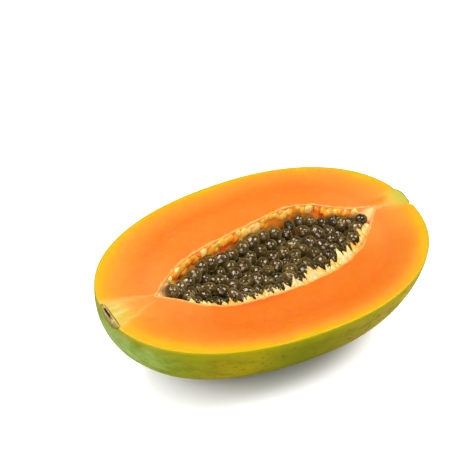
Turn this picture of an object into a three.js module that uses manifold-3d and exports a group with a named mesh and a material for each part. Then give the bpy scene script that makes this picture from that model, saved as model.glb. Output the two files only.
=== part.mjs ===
// Half a ripe papaya, cut lengthwise through the stem scar, lying on its skin with the cut face up.
// Millimetres, +Z up. The fruit's own frame has x along the fruit from the stem end to the blossom
// end, y across the cut face, and z square to the cut face, which is the plane z = 0 with the flesh
// below it. The outer groups roll that frame towards -Y and set the fruit down on z = 0.
import * as THREE from "three";
import { mergeVertices } from "three/addons/utils/BufferGeometryUtils.js";
import Module from "manifold-3d";

// ---- driving dimensions ----
const BELLY_X = 5; // station of the widest section
const STEM_LENGTH = 87.5; // widest section to the stem end
const BLOSSOM_LENGTH = 76.8; // widest section to the blossom end
const BELLY_RADIUS = 50;
const OUTLINE_POWER = 2.2; // a little squarer than an ellipse
const LOBES = 5; // the five carpels show as faint ribs towards the blossom end
const LOBE_RELIEF = 0.022; // of the radius, at the blossom end

// The rim of the seed cavity in the cut face: station, far edge, near edge.
const RIM = [
  [-57, 0, -0.2],
  [-49, 6.1, -5.7],
  [-40, 11.4, -13.5],
  [-28, 15.8, -18.8],
  [-10, 19, -21],
  [8, 21.6, -21.2],
  [26, 23.4, -19.2],
  [37, 20.4, -15.6],
  [45, 15.3, -11.6],
  [54, 10, -3.5],
  [64.5, 7.5, 6.9],
];
const CAVITY_DEPTH = 25;
const TIP_SHALLOWING = 1.15; // how fast the floor rises to the two tips

const SEED_COUNT = 100; // in the top of the heap
const SEED_RADII = [2.8, 3.6];
const SEED_LENGTHENING = 1.13; // long radius over mean radius
const SEED_NARROWING = 0.94;
const SEED_FAR_GAP = 0.9; // seed to cavity wall
const SEED_NEAR_GAPS = [1.8, 3.6]; // at the stem end and at the blossom end
const TIP_WALL_GAP = 1.8; // added towards the tips, where the wall slants
const SEED_STATIONS = [-49, 54];
const HEAP_FAR = 0.4; // the heap's top, below the cut face, at the far wall
const HEAP_NEAR = 0.7;
const HEAP_VALLEY = 5; // further below, along the middle
const SEED_SINK = 3.8; // the lowest of these seeds are this far below the heap's top
const SHORE_SINK = 0.25; // share of that along the cavity wall
const RELAX_ROUNDS = 160;
const RELAX_PUSH = 0.4; // share of an overlap that each round takes out, each way
const CORE_INSET = 1.6; // the seeds below are one core, this far inside the wall
const CORE_SHORTER = 5; // and this much short of each tip
const CORE_DROP = 5; // and this far below the heap's top
const LID_OVERHANG = 1.3; // the cut that shapes the core's top is this much wider than the cavity

const STALK_COUNT = 84; // stalks that have lost their seeds, along the near wall
const STALK_DEPTHS = [0.8, 2.6]; // below the cut face
const STALK_LENGTHS = [2, 4];
const STALK_GROWTH = [0.8, 1.4]; // times that, at the stem end and at the blossom end
const STALK_RADII = [1, 1.8];
const SHORTEST_STALK = 1.2;
const STALK_ROOT = 1.4; // length sunk in the wall
const STALK_TAPER = 0.4; // radius at the tip over radius at the foot
const STALK_SLANT = 0.7; // how far they lean either way along the fruit
const STALK_LIFT = [0.1, 0.6]; // and how far up
const STALK_SIDES = 5;
const BOSS_TRIES = 150; // for swellings of pulp, along the far wall
const BOSS_DEPTHS = [1.4, 4.5];
const BOSS_SPACING = 0.9; // between two, over their radii together
const BOSS_RADII = [1.1, 2.7];
const BOSS_LENGTHENING = 1.2;
const BOSS_SIDES = 6;
const BOSS_BANDS = 4;
const PULP_GAP = 0.35; // stalk or boss to seed
const PULP_STATIONS = [-46, 56];
const KNIFE_GAP = 0.3; // the stalks end this far below the cut face

const SCAR_RADIUS = 8.3; // the corky disc where the fruit stalk broke off
const SCAR_THICKNESS = 1.7;
const SCAR_DISH = 0.3; // its middle is this much lower than its rim
const SCAR_Y = -2;
const SCAR_RISE = 4.5; // the cut passes this far below its middle
const SCAR_SUNK = 0.45; // its rim is this far in from the stem end's pole
const SCAR_GAP = 0.3;
const SCAR_SIDES = 40;

const BUTTON_PLACE = [79.5, 7.6, 0]; // the low button that the flower left at the blossom end
const BUTTON_RADII = [2.4, 5.4, 5];

const ROLL = THREE.MathUtils.degToRad(13); // the cut face leans this far towards -Y
const FLAT_SAG = 0.9; // height worn off the underside where the fruit rests

const BODY_STATIONS = 40;
const BODY_SIDES = 22;
const CAVITY_STATIONS = 30;
const CAVITY_SIDES = 14;
const CORE_STATIONS = 14;
const CORE_SIDES = 8;
const SEED_SIDES = 7;
const SEED_BANDS = 5;

const FLESH = new THREE.MeshStandardMaterial({ color: 0xf98a2a, roughness: 0.45, metalness: 0 });
const SEED = new THREE.MeshStandardMaterial({ color: 0x3a3526, roughness: 0.2, metalness: 0 });
const CORK = new THREE.MeshStandardMaterial({ color: 0x8a6a3c, roughness: 0.9, metalness: 0 });

const wasm = await Module();
wasm.setup();

// ---- helpers ----
function solidOf(geometry) {
  const bare = new THREE.BufferGeometry();
  bare.setAttribute("position", geometry.getAttribute("position"));
  bare.setIndex(geometry.getIndex());
  const merged = mergeVertices(bare, 1e-4);
  const mesh = new wasm.Mesh({
    numProp: 3,
    vertProperties: new Float32Array(merged.getAttribute("position").array),
    triVerts: new Uint32Array(merged.getIndex().array),
  });
  return new wasm.Manifold(mesh);
}

function geometryOf(solid) {
  const mesh = solid.getMesh();
  const geometry = new THREE.BufferGeometry();
  geometry.setAttribute("position", new THREE.BufferAttribute(mesh.vertProperties, 3));
  geometry.setIndex(new THREE.BufferAttribute(mesh.triVerts, 1));
  geometry.computeVertexNormals();
  return geometry;
}

// A closed skin over rings of points, drawn to a tip beyond each end.
function loft(rings, firstTip, lastTip) {
  const sides = rings[0].length;
  const points = [...rings.flat(), firstTip, lastTip];
  const first = points.length - 2;
  const last = points.length - 1;
  const index = [];
  for (let i = 0; i < rings.length - 1; i++) {
    for (let k = 0; k < sides; k++) {
      const a = i * sides + k;
      const b = i * sides + ((k + 1) % sides);
      index.push(a, a + sides, b, b, a + sides, b + sides);
    }
  }
  const end = (rings.length - 1) * sides;
  for (let k = 0; k < sides; k++) {
    const next = (k + 1) % sides;
    index.push(first, k, next, last, end + next, end + k);
  }
  const geometry = new THREE.BufferGeometry().setFromPoints(points);
  geometry.setIndex(index);
  return solidOf(geometry);
}

// Repeatable random numbers from 0 to 1.
function drawer(seed) {
  let state = seed;
  return () => {
    state = (state * 16807) % 2147483647;
    return state / 2147483647;
  };
}

// A smooth value between the rows of a table whose first column is the station.
function along(table, x, column) {
  const last = table.length - 1;
  let i = 0;
  while (i < last - 1 && x > table[i + 1][0]) i++;
  const slope = (k) => {
    const low = Math.max(k - 1, 0);
    const high = Math.min(k + 1, last);
    return (table[high][column] - table[low][column]) / (table[high][0] - table[low][0]);
  };
  const span = table[i + 1][0] - table[i][0];
  const u = (x - table[i][0]) / span;
  const rise = u * u * (3 - 2 * u);
  return (
    table[i][column] * (1 - rise) +
    table[i + 1][column] * rise +
    span * (slope(i) * u * (1 - u) * (1 - u) - slope(i + 1) * u * u * (1 - u))
  );
}

// ---- the body: skin and flesh ----
// turn runs from 0 at the stem end to PI at the blossom end, around from 0 at the far edge of the
// cut face, under the fruit, to PI at the near edge.
function skinPoint(turn, around) {
  const reach = Math.abs(Math.cos(turn)) ** (2 / OUTLINE_POWER);
  const towardsBlossom = Math.cos(turn) < 0;
  const x = BELLY_X + (towardsBlossom ? BLOSSOM_LENGTH * reach : -STEM_LENGTH * reach);
  const ribs = towardsBlossom ? LOBE_RELIEF * reach ** 3 * Math.cos(LOBES * around) : 0;
  const radius = BELLY_RADIUS * Math.sin(turn) ** (2 / OUTLINE_POWER) * (1 + ribs);
  return new THREE.Vector3(x, radius * Math.cos(around), -radius * Math.sin(around));
}

function halfFruit() {
  const rings = [];
  for (let i = 1; i < BODY_STATIONS; i++) {
    const ring = [];
    for (let k = 0; k <= BODY_SIDES; k++) {
      ring.push(skinPoint((Math.PI * i) / BODY_STATIONS, (Math.PI * k) / BODY_SIDES));
    }
    rings.push(ring);
  }
  return loft(rings, skinPoint(0, 0), skinPoint(Math.PI, 0));
}

// ---- the seed cavity ----
const CAVITY_START = RIM[0][0];
const CAVITY_END = RIM[RIM.length - 1][0];
const WIDEST = Math.max(...RIM.map((row) => (row[1] - row[2]) / 2));

function cavityAt(x) {
  const far = along(RIM, x, 1);
  const near = along(RIM, x, 2);
  const half = Math.max((far - near) / 2, 0.05);
  return { middle: (far + near) / 2, half, depth: CAVITY_DEPTH * (half / WIDEST) ** TIP_SHALLOWING };
}

function cavitySolid(inset, shorter, lid, stations, sides) {
  const rings = [];
  const start = CAVITY_START + shorter;
  const end = CAVITY_END - shorter;
  for (let i = 1; i < stations; i++) {
    const x = start + ((end - start) * (1 - Math.cos((Math.PI * i) / stations))) / 2;
    const { middle, half, depth } = cavityAt(x);
    const width = Math.max(half - inset, 0.3);
    const drop = Math.max(depth - inset, 0.5);
    const ring = [];
    for (let k = 0; k <= sides; k++) {
      const around = (Math.PI * k) / sides;
      const y = middle + width * Math.cos(around);
      ring.push(new THREE.Vector3(x, y, -drop * Math.sin(around)));
    }
    ring.push(new THREE.Vector3(x, middle - width, lid), new THREE.Vector3(x, middle + width, lid));
    rings.push(ring);
  }
  const tip = (x) => new THREE.Vector3(x, cavityAt(x).middle, 0);
  return loft(rings, tip(start), tip(end));
}

// ---- the seeds ----
// The heap's top surface, above a point of the cavity.
function heapTop(x, y) {
  const { middle, half } = cavityAt(x);
  const v = THREE.MathUtils.clamp((y - middle) / half, -1, 1);
  const edge = HEAP_NEAR + ((HEAP_FAR - HEAP_NEAR) * (v + 1)) / 2;
  return -edge - HEAP_VALLEY * (half / WIDEST) ** 2 * (1 - v * v) ** 2;
}

// A value that changes evenly from the stem end's seeds to the blossom end's.
function between([stem, blossom], x) {
  return THREE.MathUtils.mapLinear(x, ...SEED_STATIONS, stem, blossom);
}

// Sets a seed at its own depth in the heap, clear of the wall.
function settle({ p, radius, sink }) {
  p.x = THREE.MathUtils.clamp(p.x, SEED_STATIONS[0], SEED_STATIONS[1]);
  const { middle, half, depth } = cavityAt(p.x);
  const tip = TIP_WALL_GAP * (1 - half / WIDEST);
  const far = Math.max(half - radius - SEED_FAR_GAP - tip, 0.4);
  const nearGap = between(SEED_NEAR_GAPS, p.x);
  const near = Math.max(half - radius - nearGap - tip, 0.4);
  p.y = THREE.MathUtils.clamp(p.y, middle - near, middle + far);
  const v = THREE.MathUtils.clamp((p.y - middle) / half, -1, 1);
  p.z = heapTop(p.x, p.y) - radius - sink * (1 - (1 - SHORE_SINK) * v * v);
  const width = p.y > middle ? far : near;
  const drop = Math.max(depth - radius - SEED_FAR_GAP - tip, 0.6);
  const out = Math.hypot((p.y - middle) / width, p.z / drop);
  if (out > 1) {
    p.y = middle + (p.y - middle) / out;
    p.z /= out;
  }
}

// Seeds thrown at random over the heap, then pushed apart until they only touch.
function heapSeeds() {
  const draw = drawer(20231);
  const seeds = [];
  while (seeds.length < SEED_COUNT) {
    const x = SEED_STATIONS[0] + (SEED_STATIONS[1] - SEED_STATIONS[0]) * draw();
    const across = 2 * draw() - 1;
    const radius = SEED_RADII[0] + (SEED_RADII[1] - SEED_RADII[0]) * draw();
    const sink = SEED_SINK * draw();
    const turn = [draw(), draw(), draw()].map((share) => share * 2 * Math.PI);
    const { middle, half } = cavityAt(x);
    if (draw() > half / WIDEST) continue;
    seeds.push({ p: new THREE.Vector3(x, middle + half * across, 0), radius, sink, turn });
  }
  seeds.forEach(settle);
  for (let round = 0; round < RELAX_ROUNDS; round++) {
    const moves = seeds.map(() => new THREE.Vector3());
    for (let i = 0; i < seeds.length; i++) {
      for (let j = i + 1; j < seeds.length; j++) {
        const apart = seeds[j].p.clone().sub(seeds[i].p);
        const gap = apart.length();
        const wanted = seeds[i].radius + seeds[j].radius;
        if (gap >= wanted) continue;
        apart.multiplyScalar((RELAX_PUSH * (wanted - gap)) / gap);
        moves[j].add(apart);
        moves[i].sub(apart);
      }
    }
    seeds.forEach((seed, i) => {
      seed.p.add(moves[i]);
      settle(seed);
    });
  }
  return seeds;
}

function seedSolid({ p, radius, turn }) {
  const ball = new THREE.SphereGeometry(radius, SEED_SIDES, SEED_BANDS);
  ball.scale(SEED_LENGTHENING, SEED_NARROWING, SEED_NARROWING);
  ball.applyMatrix4(new THREE.Matrix4().makeRotationFromEuler(new THREE.Euler(...turn)));
  return solidOf(ball.translate(p.x, p.y, p.z));
}

// Everything above the core's top.
function coreLid() {
  const rings = [];
  for (let i = 0; i <= CORE_STATIONS; i++) {
    const x = CAVITY_START + ((CAVITY_END - CAVITY_START) * i) / CORE_STATIONS;
    const { middle, half } = cavityAt(x);
    const ring = [];
    for (let k = 0; k <= CORE_SIDES; k++) {
      const y = middle + Math.max(half, 4) * LID_OVERHANG * Math.cos((Math.PI * k) / CORE_SIDES);
      ring.push(new THREE.Vector3(x, y, heapTop(x, y) - CORE_DROP));
    }
    ring.push(new THREE.Vector3(x, middle - 40, 20), new THREE.Vector3(x, middle + 40, 20));
    rings.push(ring);
  }
  const tip = (x) => new THREE.Vector3(x, cavityAt(x).middle, 10);
  return loft(rings, tip(CAVITY_START - 1), tip(CAVITY_END + 1));
}

function largest(solid) {
  return solid.decompose().sort((a, b) => b.volume() - a.volume())[0];
}

function seedHeap(seeds) {
  const core = cavitySolid(CORE_INSET, CORE_SHORTER, 0, CORE_STATIONS, CORE_SIDES).subtract(coreLid());
  return largest(wasm.Manifold.union([core, ...seeds.map(seedSolid)]));
}

// ---- the pulp on the cavity wall ----
function wallPoint(x, side, down) {
  const { middle, half, depth } = cavityAt(x);
  return new THREE.Vector3(x, middle + side * half * Math.sqrt(1 - (down / depth) ** 2), -down);
}

// Whether a rod of pulp would touch a seed.
function blocked(seeds, foot, tip, radius) {
  const rod = new THREE.Line3(foot, tip);
  const near = new THREE.Vector3();
  return seeds.some((seed) => {
    rod.closestPointToPoint(seed.p, true, near);
    return near.distanceTo(seed.p) < seed.radius * SEED_LENGTHENING + radius + PULP_GAP;
  });
}

// Short tapered stalks on the near wall, leaning in and up between the seeds.
function stalkSolids(seeds) {
  const draw = drawer(4242);
  const pick = ([low, high]) => low + (high - low) * draw();
  const upright = new THREE.Vector3(0, 1, 0);
  const stalks = [];
  for (let i = 0; i < STALK_COUNT; i++) {
    const x = PULP_STATIONS[0] + ((PULP_STATIONS[1] - PULP_STATIONS[0]) * (i + draw())) / STALK_COUNT;
    const radius = pick(STALK_RADII);
    const foot = wallPoint(x, -1, Math.max(pick(STALK_DEPTHS), radius + KNIFE_GAP));
    const lean = new THREE.Vector3(STALK_SLANT * (draw() - 0.5), 1, pick(STALK_LIFT)).normalize();
    const wanted = pick(STALK_LENGTHS) * between(STALK_GROWTH, x);
    const room = (-KNIFE_GAP - STALK_TAPER * radius - foot.z) / lean.z;
    const length = Math.min(wanted, room);
    const tip = foot.clone().addScaledVector(lean, length);
    if (length < SHORTEST_STALK || blocked(seeds, foot, tip, 0.7 * radius)) continue;
    const tipRadius = STALK_TAPER * radius;
    const cone = new THREE.CylinderGeometry(tipRadius, radius, length + STALK_ROOT, STALK_SIDES);
    cone.applyQuaternion(new THREE.Quaternion().setFromUnitVectors(upright, lean));
    const centre = foot.clone().addScaledVector(lean, (length - STALK_ROOT) / 2);
    stalks.push(solidOf(cone.translate(centre.x, centre.y, centre.z)));
  }
  return stalks;
}

// Rounded swellings on the far wall, between the seeds and clear of each other.
function bossSolids(seeds) {
  const draw = drawer(777);
  const pick = ([low, high]) => low + (high - low) * draw();
  const bosses = [];
  for (let i = 0; i < BOSS_TRIES; i++) {
    const x = PULP_STATIONS[0] + ((PULP_STATIONS[1] - PULP_STATIONS[0]) * (i + draw())) / BOSS_TRIES;
    const radius = pick(BOSS_RADII);
    const centre = wallPoint(x, 1, Math.max(pick(BOSS_DEPTHS), radius + KNIFE_GAP));
    const close = (boss) => boss.centre.distanceTo(centre) < BOSS_SPACING * (boss.radius + radius);
    if (blocked(seeds, centre, centre, radius) || bosses.some(close)) continue;
    bosses.push({ centre, radius });
  }
  return bosses.map(({ centre, radius }) => {
    const ball = new THREE.SphereGeometry(radius, BOSS_SIDES, BOSS_BANDS);
    return solidOf(ball.scale(BOSS_LENGTHENING, 1, 1).translate(centre.x, centre.y, centre.z));
  });
}

// ---- the stem scar ----
const SCAR_FACE = BELLY_X - STEM_LENGTH + SCAR_SUNK;

function scarDisc() {
  const profile = [
    new THREE.Vector2(0, -SCAR_THICKNESS),
    new THREE.Vector2(SCAR_RADIUS * 0.93, -SCAR_THICKNESS),
    new THREE.Vector2(SCAR_RADIUS, -SCAR_THICKNESS * 0.7),
    new THREE.Vector2(SCAR_RADIUS, -SCAR_THICKNESS * 0.2),
    new THREE.Vector2(SCAR_RADIUS * 0.93, 0),
    new THREE.Vector2(SCAR_RADIUS * 0.75, -SCAR_DISH),
    new THREE.Vector2(0, -SCAR_DISH),
  ];
  const disc = new THREE.LatheGeometry(profile, SCAR_SIDES);
  return solidOf(disc.rotateZ(Math.PI / 2).translate(SCAR_FACE, SCAR_Y, SCAR_RISE));
}

// The hole that the scar sits in, open at the stem end.
function scarPocket() {
  const reach = 10;
  const floor = SCAR_FACE + SCAR_THICKNESS + SCAR_GAP;
  const radius = SCAR_RADIUS + SCAR_GAP;
  const hole = new THREE.CylinderGeometry(radius, radius, reach, SCAR_SIDES);
  return solidOf(hole.rotateZ(Math.PI / 2).translate(floor - reach / 2, SCAR_Y, SCAR_RISE));
}

function blossomButton() {
  return solidOf(new THREE.SphereGeometry(1, 12, 8).scale(...BUTTON_RADII).translate(...BUTTON_PLACE));
}

// ---- assembly ----
const seeds = heapSeeds();

const restHeight = BELLY_RADIUS - FLAT_SAG;
const aboveCut = new THREE.BoxGeometry(240, 240, 120).translate(0, 0, 60);
const belowRest = new THREE.BoxGeometry(240, 240, 40).translate(0, 0, -20 - restHeight).rotateX(-ROLL);

const body = halfFruit()
  .add(blossomButton().subtract(solidOf(aboveCut)))
  .subtract(cavitySolid(0, 0, 3, CAVITY_STATIONS, CAVITY_SIDES))
  .subtract(scarPocket())
  .add(wasm.Manifold.union([...stalkSolids(seeds), ...bossSolids(seeds)]))
  .subtract(solidOf(belowRest));
const scar = scarDisc().subtract(solidOf(aboveCut));

function named(name, solid, material) {
  const mesh = new THREE.Mesh(geometryOf(solid), material);
  mesh.name = name;
  return mesh;
}

const fruit = new THREE.Group();
fruit.add(named("papaya_half", largest(body), FLESH));
fruit.add(named("seeds", seedHeap(seeds), SEED));
fruit.add(named("stem_scar", scar, CORK));
fruit.rotation.x = ROLL;
fruit.position.z = restHeight;

const papaya = new THREE.Group();
papaya.add(fruit);

export default papaya;
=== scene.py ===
import math

import bmesh
import bpy
import numpy as np
from mathutils import Euler, Matrix, Vector, noise


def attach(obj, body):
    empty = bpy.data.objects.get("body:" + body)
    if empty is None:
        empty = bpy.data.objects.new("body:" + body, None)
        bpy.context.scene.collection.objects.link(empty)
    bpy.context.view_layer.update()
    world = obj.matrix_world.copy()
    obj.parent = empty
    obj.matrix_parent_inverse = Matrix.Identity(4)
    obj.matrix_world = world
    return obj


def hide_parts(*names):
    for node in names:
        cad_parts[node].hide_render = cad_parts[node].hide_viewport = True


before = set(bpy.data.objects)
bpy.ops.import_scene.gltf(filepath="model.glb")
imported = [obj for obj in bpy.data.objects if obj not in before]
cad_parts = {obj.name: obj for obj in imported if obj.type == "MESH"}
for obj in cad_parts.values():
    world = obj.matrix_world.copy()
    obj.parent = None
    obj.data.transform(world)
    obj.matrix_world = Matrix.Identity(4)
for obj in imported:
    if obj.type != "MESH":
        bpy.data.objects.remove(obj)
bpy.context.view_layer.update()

# ---- The view ----
# The half papaya lies on its skin, cut face up, and is seen from above its stem end, from about a
# metre away through a long lens. The fruit's own axis is level, REST_HEIGHT above the surface.
MM = 0.001
REST_HEIGHT = 49.1  # mm, from the surface to the fruit's axis
ROLL = math.radians(13)  # the cut face leans this far towards -Y
VIEW_AZIMUTH = math.radians(-31.6)
VIEW_ELEVATION = math.radians(33.56)
VIEW_DISTANCE = 1000 * MM
LENS_LENGTH = 177.8  # mm, a long lens
SENSOR_WIDTH = 36
NEAREST_SEEN = 0.05  # m
FURTHEST_SEEN = 20
AXIS_RIGHT_OF_CENTRE = 18.27 * MM  # where the fruit's axis comes in the picture
AXIS_BELOW_CENTRE = 14.52 * MM

scene = bpy.context.scene


def in_scene(name, data):
    made = bpy.data.objects.new(name, data)
    scene.collection.objects.link(made)
    return made


camera = in_scene("camera", bpy.data.cameras.new("camera"))
scene.camera = camera
camera.data.lens = LENS_LENGTH
camera.data.sensor_width = SENSOR_WIDTH
camera.data.clip_start = NEAREST_SEEN
camera.data.clip_end = FURTHEST_SEEN
view_back = Vector(
    (
        math.sin(VIEW_AZIMUTH) * math.cos(VIEW_ELEVATION),
        -math.cos(VIEW_AZIMUTH) * math.cos(VIEW_ELEVATION),
        math.sin(VIEW_ELEVATION),
    )
)
view_turn = (-view_back).to_track_quat("-Z", "Y")
view_right = view_turn @ Vector((1, 0, 0))
view_up = view_turn @ Vector((0, 1, 0))
camera.rotation_mode = "QUATERNION"
camera.rotation_quaternion = view_turn
camera.location = (
    Vector((0, 0, REST_HEIGHT * MM))
    + VIEW_DISTANCE * view_back
    - AXIS_RIGHT_OF_CENTRE * view_right
    + AXIS_BELOW_CENTRE * view_up
)

# ---- The flesh and skin ----
# One grown piece: a thin waxy skin round firm orange flesh, cut flat by the knife, with the seed
# cavity hollowed out of it. Its mesh is three grids that share their edges: the skin, the cut face
# and the cavity wall. All sizes here are in mm in the fruit's frame, where the cut face is z = 0.
BELLY_X = 5
STEM_LENGTH = 87.5
BLOSSOM_LENGTH = 76.8
BELLY_RADIUS = 50
OUTLINE_POWER = 2.2
LOBES = 5
LOBE_RELIEF = 0.022
RIM = np.array(  # of the cavity: along the fruit, then its far and its near edge across it
    [
        [-57, 0, -0.2], [-49, 6.1, -5.7], [-40, 11.4, -13.5], [-28, 15.8, -18.8],
        [-10, 19, -21], [8, 21.6, -21.2], [26, 23.4, -19.2], [37, 20.4, -15.6],
        [45, 15.3, -11.6], [54, 10, -3.5], [64.5, 7.5, 6.9],
    ]
)
CAVITY_START = RIM[0, 0]
CAVITY_END = RIM[-1, 0]
CAVITY_DEPTH = 25
TIP_SHALLOWING = 1.15
WIDEST = float(((RIM[:, 1] - RIM[:, 2]) / 2).max())
STATIONS = 260  # along the fruit
SKIN_COLUMNS = 90  # round the skin, from the far edge of the cut face to the near edge
FACE_ROWS = 40  # across the cut face
WALL_COLUMNS = 84  # down the cavity wall and up again
SCAR_RADIUS = 8.3
SCAR_THICKNESS = 1.7
SCAR_Y = -2
SCAR_RISE = 4.5
SCAR_SUNK = 0.45  # its face is this far in from the fruit's stem end
SCAR_FACE = BELLY_X - STEM_LENGTH + SCAR_SUNK
SCAR_GAP = 0.35
BUTTON_PLACE = (79.5, 7.6, 0)
BUTTON_RADII = (2.4, 5.4, 5)
BUTTON_START = 70  # along the fruit; the skin short of it stays as it is
BUTTON_BLEND = 2.5  # it fades into the cut face's edge over this width
CREASES = ((2.0, 1.5, 0.75), (13.7, 0.7, 0.8))  # where each is across the fruit, depth, width
CREASE_FADES = ((66, 72), (0.2, 2.2), (-12, -2))  # along the fruit, from the skin and up
SWELLS = ((0.45, 34), (0.12, 9))  # of the skin: height and breadth
POCKET_EDGE = (0.1, 0.9)  # outside the scar
SKIN_EDGE = (0.28, 0.5)  # how the cut's outer edge is rounded: drop and width
RIM_EDGE = (0.22, 0.8)  # and its inner edge
KNIFE_MARKS = (0.05, 6)  # height and breadth
PLAIN_TIPS = ((CAVITY_START, -48), (54, 62))  # where the lumps fade out, along the fruit
FAR_AWAY = 30.0  # beyond every distance that the colours depend on
LUMP_SPREAD = (5.4, 7, 4.6)  # from one lump to the next, along, across and down the wall
LUMP_TONE = -0.12  # a cell above this tone swells to a lump, and the others are pockets
LUMP_HEIGHT = 1.3
POCKET_DEPTH = 1.5
LIP_WIDTH = 0.15
LIP_WAVER = 0.3
LIP_DEPTH = (0.7, 0.6)  # below the cut: its middle and its spread
LIP_FADE = 4  # from the cavity's tip at the stem end


def rim_at(x, column):
    """A smooth value between two rows of the rim's table."""
    last = len(RIM) - 1
    i = 0
    while i < last - 1 and x > RIM[i + 1][0]:
        i += 1

    def slope(k):
        low = max(k - 1, 0)
        high = min(k + 1, last)
        return (RIM[high][column] - RIM[low][column]) / (RIM[high][0] - RIM[low][0])

    span = RIM[i + 1][0] - RIM[i][0]
    u = (x - RIM[i][0]) / span
    rise = u * u * (3 - 2 * u)
    return (
        RIM[i][column] * (1 - rise)
        + RIM[i + 1][column] * rise
        + span * (slope(i) * u * (1 - u) * (1 - u) - slope(i + 1) * u * u * (1 - u))
    )


def cavity_at(x):
    """The cavity's middle, half width and depth at a station."""
    far = rim_at(x, 1)
    near = rim_at(x, 2)
    half = max((far - near) / 2, 0.05)
    return (far + near) / 2, half, CAVITY_DEPTH * (half / WIDEST) ** TIP_SHALLOWING


def smooth_step(low, high, value):
    t = np.clip((value - low) / (high - low), 0, 1)
    return t * t * (3 - 2 * t)


def in_row_frame(points):
    """Points in mm in the fruit's frame, as metres in the row frame."""
    x, y, z = np.asarray(points, float).T
    sine, cosine = math.sin(ROLL), math.cos(ROLL)
    return np.stack([x, y * cosine - z * sine, y * sine + z * cosine + REST_HEIGHT], 1) * MM


def soft_noise(points, size, seed):
    """Smooth random values from -1 to 1, with features of about size mm."""
    shift = Vector((seed * 7.13, seed * 3.71, seed * 5.17))
    return np.array([noise.noise(Vector(p) / size + shift) for p in points])


turns = np.pi * np.arange(STATIONS + 1) / STATIONS
arounds = np.pi * np.arange(SKIN_COLUMNS + 1) / SKIN_COLUMNS
reach = np.abs(np.cos(turns)) ** (2 / OUTLINE_POWER)
towards_blossom = np.cos(turns) < 0
skin_x = BELLY_X + np.where(towards_blossom, BLOSSOM_LENGTH, -STEM_LENGTH) * reach
skin_radius = BELLY_RADIUS * np.sin(turns) ** (2 / OUTLINE_POWER)
skin_radius[[0, -1]] = 0

points = []
quads = []


def add_points(rows):
    first = len(points)
    points.extend(rows)
    return np.arange(first, len(points))


skin = np.zeros((STATIONS + 1, SKIN_COLUMNS + 1), int)
for i in range(STATIONS + 1):
    ribs = LOBE_RELIEF * reach[i] ** 3 * np.cos(LOBES * arounds) * towards_blossom[i]
    radius = skin_radius[i] * (1 + ribs)
    ring_y = radius * np.cos(arounds)
    ring_z = -radius * np.sin(arounds)
    ring = np.stack([np.full_like(arounds, skin_x[i]), ring_y, ring_z], 1)
    skin[i] = add_points(ring[:1])[0] if i in (0, STATIONS) else add_points(ring)

stations = CAVITY_START + (CAVITY_END - CAVITY_START) * (1 - np.cos(turns)) / 2
downs = np.pi * (1 - np.cos(np.pi * np.arange(WALL_COLUMNS + 1) / WALL_COLUMNS)) / 2
wall = np.zeros((STATIONS + 1, WALL_COLUMNS + 1), int)
for i, x in enumerate(stations):
    middle, half, depth = cavity_at(x)
    ring_y = middle + half * np.cos(downs)
    ring = np.stack([np.full_like(downs, x), ring_y, -depth * np.sin(downs)], 1)
    ring[[0, -1], 2] = 0
    wall[i] = add_points([[x, middle, 0]])[0] if i in (0, STATIONS) else add_points(ring)

# The cut face's rows lie close together at both of its edges.
shares = np.arange(FACE_ROWS + 1) / FACE_ROWS
shares = 0.6 * (shares * shares * (3 - 2 * shares)) + 0.4 * shares
shares = np.concatenate([[0], [0.006], shares[1:-1], [0.994], [1]])
outline = np.concatenate([skin[:, 0], skin[-2:0:-1, -1]])
rim = np.concatenate([wall[:, 0], wall[-2:0:-1, -1]])
face = np.zeros((len(shares), len(outline)), int)
face[0] = rim
face[-1] = outline
corners = np.array(points)
for j, share in enumerate(shares[1:-1], start=1):
    face[j] = add_points(corners[rim] * (1 - share) + corners[outline] * share)


def add_grid(grid, closed=False):
    rows, columns = grid.shape
    for i in range(rows - 1):
        for k in range(columns if closed else columns - 1):
            n = (k + 1) % columns
            corner = [grid[i, k], grid[i + 1, k], grid[i + 1, n], grid[i, n]]
            unique = list(dict.fromkeys(corner))
            if len(unique) > 2:
                quads.append([int(c) for c in unique])


add_grid(skin)
skin_faces = len(quads)
add_grid(face, closed=True)
add_grid(wall)
place = np.array(points)
on_skin = np.unique(skin)
on_wall = np.unique(wall[:, 1:-1])
on_face = np.unique(face[1:-1])


def distance_to_loop(where, loop):
    """How far each place is from a closed line of points."""
    best = np.full(len(where), np.inf)
    for start, step in zip(loop, np.roll(loop, -1, axis=0) - loop):
        share = np.clip(((where - start) @ step) / max(step @ step, 1e-12), 0, 1)
        best = np.minimum(best, np.linalg.norm(where - start - share[:, None] * step, axis=1))
    return best


# How far each point of the cut face is from the skin and from the cavity. Down the cavity's wall
# the second one is the depth, below zero.
flat = np.concatenate([on_face, rim])
from_skin = np.zeros(len(place))
from_skin[flat] = distance_to_loop(place[flat][:, :2], place[outline][:, :2])
from_skin[on_wall] = FAR_AWAY
from_cavity = np.full(len(place), FAR_AWAY)
from_cavity[flat] = distance_to_loop(place[flat][:, :2], place[rim][:, :2])
from_cavity[on_wall] = place[on_wall][:, 2]


def unit(vectors):
    return vectors / np.maximum(np.linalg.norm(vectors, axis=1), 1e-6)[:, None]


# The skin swells and dips a little, and carries the low button that the flower left.
undulation = sum(
    height * soft_noise(place[on_skin], breadth, seed)
    for seed, (height, breadth) in enumerate(SWELLS, start=1)
)
outwards = unit(place[on_skin] * [0.15, 1, 1])
inside_edge = smooth_step(0, 6, -place[on_skin][:, 2])
place[on_skin] += outwards * (undulation * inside_edge)[:, None]

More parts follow.
